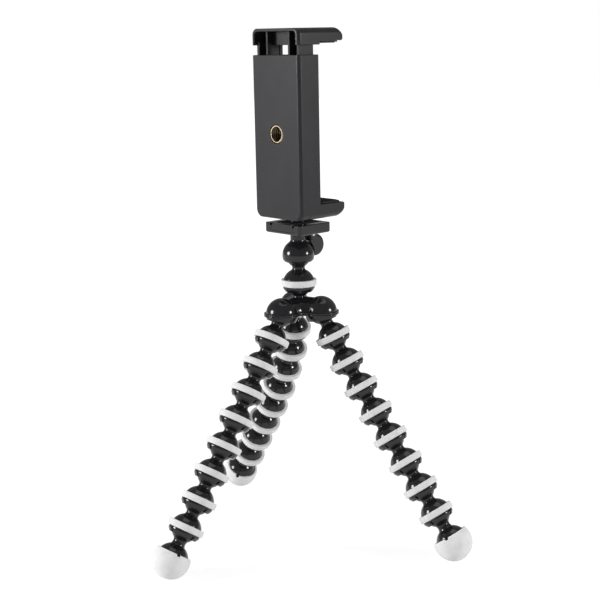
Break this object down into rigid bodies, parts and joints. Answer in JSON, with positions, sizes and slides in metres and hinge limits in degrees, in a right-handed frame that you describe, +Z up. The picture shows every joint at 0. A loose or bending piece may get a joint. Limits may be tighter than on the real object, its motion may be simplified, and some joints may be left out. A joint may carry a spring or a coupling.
{
  "type": "phone tripod",
  "caption": "Flexible tripod with legs of ball-and-socket links and ringed grips, a ball head, a quick release plate and a sprung clamp with a sliding jaw.",
  "frame": {"origin": "on the floor, in the middle of the box that the whole part spans", "axes": "+Z up, +X along the clamp's width, +Y towards the open side of the clamp"},
  "size_m": [0.156, 0.1148, 0.2279],
  "materials": {
    "shell_plastic": "satin",
    "white_rubber": "matte",
    "clamp_plastic": "satin",
    "pad_rubber": "matte",
    "insert_brass": "machined",
    "plain_steel": "satin"
  },
  "bodies": {
    "hub": {"hub_top": "shell_plastic", "hub_bottom": "shell_plastic", "hub_screw": "plain_steel"},
    "neck": {"neck_link": "shell_plastic", "neck_ring": "white_rubber"},
    "head": {"head_tray": "shell_plastic", "lever_pin": "plain_steel"},
    "lever": {"release_lever": "shell_plastic"},
    "plate": {"quick_plate": "shell_plastic", "plate_pad": "pad_rubber"},
    "screw": {"mount_screw": "plain_steel"},
    "clamp": {"clamp_body": "clamp_plastic", "front_cover": "clamp_plastic", "cover_screws": "plain_steel", "back_pad": "pad_rubber", "lower_jaw_pad": "pad_rubber", "base_pad": "pad_rubber", "rear_insert": "insert_brass", "bottom_insert": "insert_brass", "lower_spring_pin": "plain_steel", "left_spring": "plain_steel", "right_spring": "plain_steel"},
    "jaw": {"sliding_jaw": "clamp_plastic", "upper_jaw_pad": "pad_rubber", "upper_spring_pins": "plain_steel"},
    "right_link_1": {"right_leg_link_1": "shell_plastic"},
    "right_link_2": {"right_leg_link_2": "shell_plastic"},
    "right_link_3": {"right_leg_link_3": "shell_plastic"},
    "right_link_4": {"right_leg_link_4": "shell_plastic"},
    "right_link_5": {"right_leg_link_5": "shell_plastic"},
    "right_link_6": {"right_leg_link_6": "shell_plastic"},
    "right_link_7": {"right_leg_link_7": "shell_plastic"},
    "right_link_8": {"right_leg_link_8": "shell_plastic"},
    "right_foot": {"right_foot_link": "shell_plastic", "right_foot_cap": "white_rubber"},
    "left_link_1": {"left_leg_link_1": "shell_plastic"},
    "left_link_2": {"left_leg_link_2": "shell_plastic"},
    "left_link_3": {"left_leg_link_3": "shell_plastic"},
    "left_link_4": {"left_leg_link_4": "shell_plastic"},
    "left_link_5": {"left_leg_link_5": "shell_plastic"},
    "left_link_6": {"left_leg_link_6": "shell_plastic"},
    "left_link_7": {"left_leg_link_7": "shell_plastic"},
    "left_link_8": {"left_leg_link_8": "shell_plastic"},
    "left_foot": {"left_foot_link": "shell_plastic", "left_foot_cap": "white_rubber"},
    "rear_link_1": {"rear_leg_link_1": "shell_plastic"},
    "rear_link_2": {"rear_leg_link_2": "shell_plastic"},
    "rear_link_3": {"rear_leg_link_3": "shell_plastic"},
    "rear_link_4": {"rear_leg_link_4": "shell_plastic"},
    "rear_link_5": {"rear_leg_link_5": "shell_plastic"},
    "rear_link_6": {"rear_leg_link_6": "shell_plastic"},
    "rear_link_7": {"rear_leg_link_7": "shell_plastic"},
    "rear_link_8": {"rear_leg_link_8": "shell_plastic"},
    "rear_foot": {"rear_foot_link": "shell_plastic", "rear_foot_cap": "white_rubber"}
  },
  "joints": [
    {"name": "jaw_slide", "type": "slide", "parent": "clamp", "child": "jaw", "axis": [0, 0, 1], "range_m": [-0.0035, 0.018], "stiffness_N_per_m": 300, "deforming": ["left_spring", "right_spring"]},
    {"name": "lever_turn", "type": "hinge", "parent": "head", "child": "lever", "pos_m": [0, 0.03114, 0.13869], "axis": [1, 0, 0], "range_deg": [0, 30]},
    {"name": "plate_slide", "type": "slide", "parent": "head", "child": "plate", "axis": [0, 1, 0], "range_m": [-0.018, 0]},
    {"name": "clamp_turn", "type": "hinge", "parent": "plate", "child": "clamp", "pos_m": [0, 0.02514, 0.14704], "axis": [0, 0, 1], "continuous": true},
    {"name": "screw_turn", "type": "hinge", "parent": "plate", "child": "screw", "pos_m": [0, 0.02514, 0.14134], "axis": [0, 0, 1], "continuous": true},
    {"name": "neck_tilt", "type": "hinge", "parent": "hub", "child": "neck", "pos_m": [0, 0.02514, 0.11674], "axis": [1, 0, 0], "range_deg": [-18, 18]},
    {"name": "head_tilt", "type": "hinge", "parent": "neck", "child": "head", "pos_m": [0, 0.02514, 0.12984], "axis": [0, 1, 0], "range_deg": [-18, 18]},
    {"name": "right_bend_1", "type": "hinge", "parent": "hub", "child": "right_link_1", "pos_m": [0.009, 0.02993, 0.10474], "axis": [0.4695, -0.8829, 0], "range_deg": [-20, 4]},
    {"name": "right_bend_2", "type": "hinge", "parent": "right_link_1", "child": "right_link_2", "pos_m": [0.01411, 0.03264, 0.09338], "axis": [-0.7952, -0.3437, -0.4996], "range_deg": [-20, 20]},
    {"name": "right_bend_3", "type": "hinge", "parent": "right_link_2", "child": "right_link_3", "pos_m": [0.01996, 0.03517, 0.08234], "axis": [-0.3405, 0.9403, 0], "range_deg": [-20, 20]},
    {"name": "right_bend_4", "type": "hinge", "parent": "right_link_3", "child": "right_link_4", "pos_m": [0.02635, 0.03749, 0.07155], "axis": [0.7929, 0.2487, 0.5563], "range_deg": [-20, 20]},
    {"name": "right_bend_5", "type": "hinge", "parent": "right_link_4", "child": "right_link_5", "pos_m": [0.03312, 0.03961, 0.06095], "axis": [0.2714, -0.9625, 0], "range_deg": [-20, 20]},
    {"name": "right_bend_6", "type": "hinge", "parent": "right_link_5", "child": "right_link_6", "pos_m": [0.04013, 0.04159, 0.05049], "axis": [-0.7871, -0.207, -0.5811], "range_deg": [-20, 20]},
    {"name": "right_bend_7", "type": "hinge", "parent": "right_link_6", "child": "right_link_7", "pos_m": [0.0473, 0.04347, 0.04011], "axis": [-0.2456, 0.9694, 0], "range_deg": [-20, 20]},
    {"name": "right_bend_8", "type": "hinge", "parent": "right_link_7", "child": "right_link_8", "pos_m": [0.05454, 0.04531, 0.02978], "axis": [0.7851, 0.1961, 0.5875], "range_deg": [-20, 20]},
    {"name": "right_bend_9", "type": "hinge", "parent": "right_link_8", "child": "right_foot", "pos_m": [0.06181, 0.04712, 0.01946], "axis": [0.2419, -0.9703, 0], "range_deg": [-20, 20]},
    {"name": "left_bend_1", "type": "hinge", "parent": "hub", "child": "left_link_1", "pos_m": [-0.00865, 0.03054, 0.10474], "axis": [0.5299, 0.848, 0], "range_deg": [-20, 4]},
    {"name": "left_bend_2", "type": "hinge", "parent": "left_link_1", "child": "left_link_2", "pos_m": [-0.01305, 0.03329, 0.09309], "axis": [0.802, -0.3639, -0.4737], "range_deg": [-20, 20]},
    {"name": "left_bend_3", "type": "hinge", "parent": "left_link_2", "child": "left_link_3", "pos_m": [-0.01855, 0.03579, 0.08186], "axis": [-0.3207, -0.9472, 0], "range_deg": [-20, 20]},
    {"name": "left_bend_4", "type": "hinge", "parent": "left_link_3", "child": "left_link_4", "pos_m": [-0.02486, 0.03792, 0.07099], "axis": [-0.804, 0.2097, 0.5564], "range_deg": [-20, 20]},
    {"name": "left_bend_5", "type": "hinge", "parent": "left_link_4", "child": "left_link_5", "pos_m": [-0.03172, 0.03971, 0.0604], "axis": [0.2058, 0.9786, 0], "range_deg": [-20, 20]},
    {"name": "left_bend_6", "type": "hinge", "parent": "left_link_5", "child": "left_link_6", "pos_m": [-0.03894, 0.04123, 0.05], "axis": [0.7932, -0.1429, -0.592], "range_deg": [-20, 20]},
    {"name": "left_bend_7", "type": "hinge", "parent": "left_link_6", "child": "left_link_7", "pos_m": [-0.04637, 0.04257, 0.03972], "axis": [-0.1626, -0.9867, 0], "range_deg": [-20, 20]},
    {"name": "left_bend_8", "type": "hinge", "parent": "left_link_7", "child": "left_link_8", "pos_m": [-0.05391, 0.04381, 0.02951], "axis": [-0.7891, 0.1256, 0.6012], "range_deg": [-20, 20]},
    {"name": "left_bend_9", "type": "hinge", "parent": "left_link_8", "child": "left_foot", "pos_m": [-0.06148, 0.04502, 0.01932], "axis": [0.1564, 0.9877, 0], "range_deg": [-20, 20]},
    {"name": "rear_bend_1", "type": "hinge", "parent": "hub", "child": "rear_link_1", "pos_m": [-0.00036, 0.01494, 0.10474], "axis": [-0.9994, 0.0349, 0], "range_deg": [-20, 4]},
    {"name": "rear_bend_2", "type": "hinge", "parent": "rear_link_1", "child": "rear_link_2", "pos_m": [-0.00059, 0.0083, 0.09386], "axis": [0.0295, 0.8436, -0.5362], "range_deg": [-20, 20]},
    {"name": "rear_bend_3", "type": "hinge", "parent": "rear_link_2", "child": "rear_link_3", "pos_m": [-0.00083, 0.00147, 0.0831], "axis": [0.9994, -0.0349, 0], "range_deg": [-20, 20]},
    {"name": "rear_bend_4", "type": "hinge", "parent": "rear_link_3", "child": "rear_link_4", "pos_m": [-0.00107, -0.0055, 0.07243], "axis": [-0.029, -0.8314, 0.5549], "range_deg": [-20, 20]},
    {"name": "rear_bend_5", "type": "hinge", "parent": "rear_link_4", "child": "rear_link_5", "pos_m": [-0.00132, -0.01257, 0.06182], "axis": [-0.9994, 0.0349, 0], "range_deg": [-20, 20]},
    {"name": "rear_bend_6", "type": "hinge", "parent": "rear_link_5", "child": "rear_link_6", "pos_m": [-0.00157, -0.01971, 0.05126], "axis": [0.0288, 0.8258, -0.5632], "range_deg": [-20, 20]},
    {"name": "rear_bend_7", "type": "hinge", "parent": "rear_link_6", "child": "rear_link_7", "pos_m": [-0.00182, -0.02689, 0.04072], "axis": [0.9994, -0.0349, 0], "range_deg": [-20, 20]},
    {"name": "rear_bend_8", "type": "hinge", "parent": "rear_link_7", "child": "rear_link_8", "pos_m": [-0.00207, -0.03408, 0.0302], "axis": [-0.0288, -0.8243, 0.5654], "range_deg": [-20, 20]},
    {"name": "rear_bend_9", "type": "hinge", "parent": "rear_link_8", "child": "rear_foot", "pos_m": [-0.00232, -0.04129, 0.01968], "axis": [-0.9994, 0.0349, 0], "range_deg": [-20, 20]}
  ]
}
